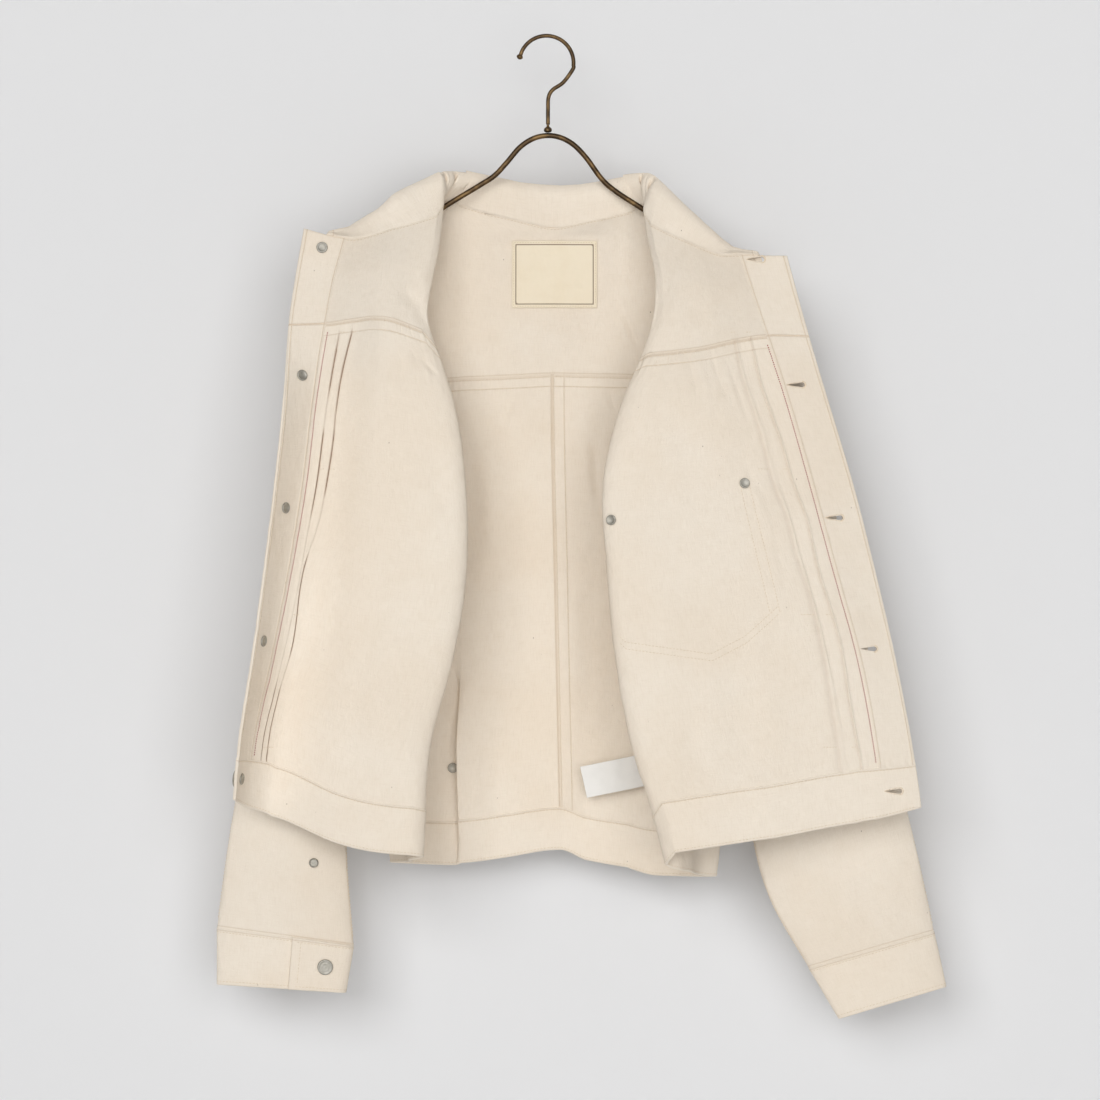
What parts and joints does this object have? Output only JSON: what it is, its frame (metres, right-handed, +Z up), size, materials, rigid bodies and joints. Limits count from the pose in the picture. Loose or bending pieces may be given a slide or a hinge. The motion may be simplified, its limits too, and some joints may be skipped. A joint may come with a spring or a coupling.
{
  "type": "denim jacket on a hanger",
  "caption": "Short pleated denim jacket hung on a wire hanger, its fronts swung open and folded back outwards, with a standing collar.",
  "frame": {"origin": "inner top of the hanger's hook, where a rail or peg holds it", "axes": "+Z up, +X to the viewer's right, which is the wearer's left, and +Y towards the back of the jacket, away from the viewer"},
  "size_m": [0.6574, 0.1366, 0.8878],
  "materials": {
    "ecru_denim": "unbleached cotton twill, matt",
    "neck_label": "plain woven label",
    "care_label": "white satin tape",
    "nickel": "dull grey nickel",
    "bronze": "dark brushed bronze"
  },
  "bodies": {
    "root": {"back_panel_left": "ecru_denim", "back_panel_right": "ecru_denim", "back_strap": "ecru_denim", "back_yoke": "ecru_denim", "care_label": "care_label", "chest_pocket": "ecru_denim", "collar": "ecru_denim", "cuff_button_left": "nickel", "cuff_button_right": "nickel", "cuff_left": "ecru_denim", "cuff_right": "ecru_denim", "front_panel_left": "ecru_denim", "front_panel_right": "ecru_denim", "front_yoke_left": "ecru_denim", "front_yoke_right": "ecru_denim", "hanger_arms": "bronze", "hanger_bead": "bronze", "hanger_hook": "bronze", "neck_label": "neck_label", "placket_left": "ecru_denim", "placket_right": "ecru_denim", "placket_top_left": "ecru_denim", "placket_top_right": "ecru_denim", "pocket_rivet_1": "nickel", "pocket_rivet_2": "nickel", "sleeve_back_left": "ecru_denim", "sleeve_back_right": "ecru_denim", "sleeve_front_left": "ecru_denim", "sleeve_front_right": "ecru_denim", "strap_rivet_left": "nickel", "strap_rivet_right": "nickel", "tack_button_1": "nickel", "tack_button_2": "nickel", "tack_button_3": "nickel", "tack_button_4": "nickel", "tack_button_5": "nickel", "vent_rivet_left": "nickel", "vent_rivet_right": "nickel", "waistband": "ecru_denim"}
  },
  "joints": []
}
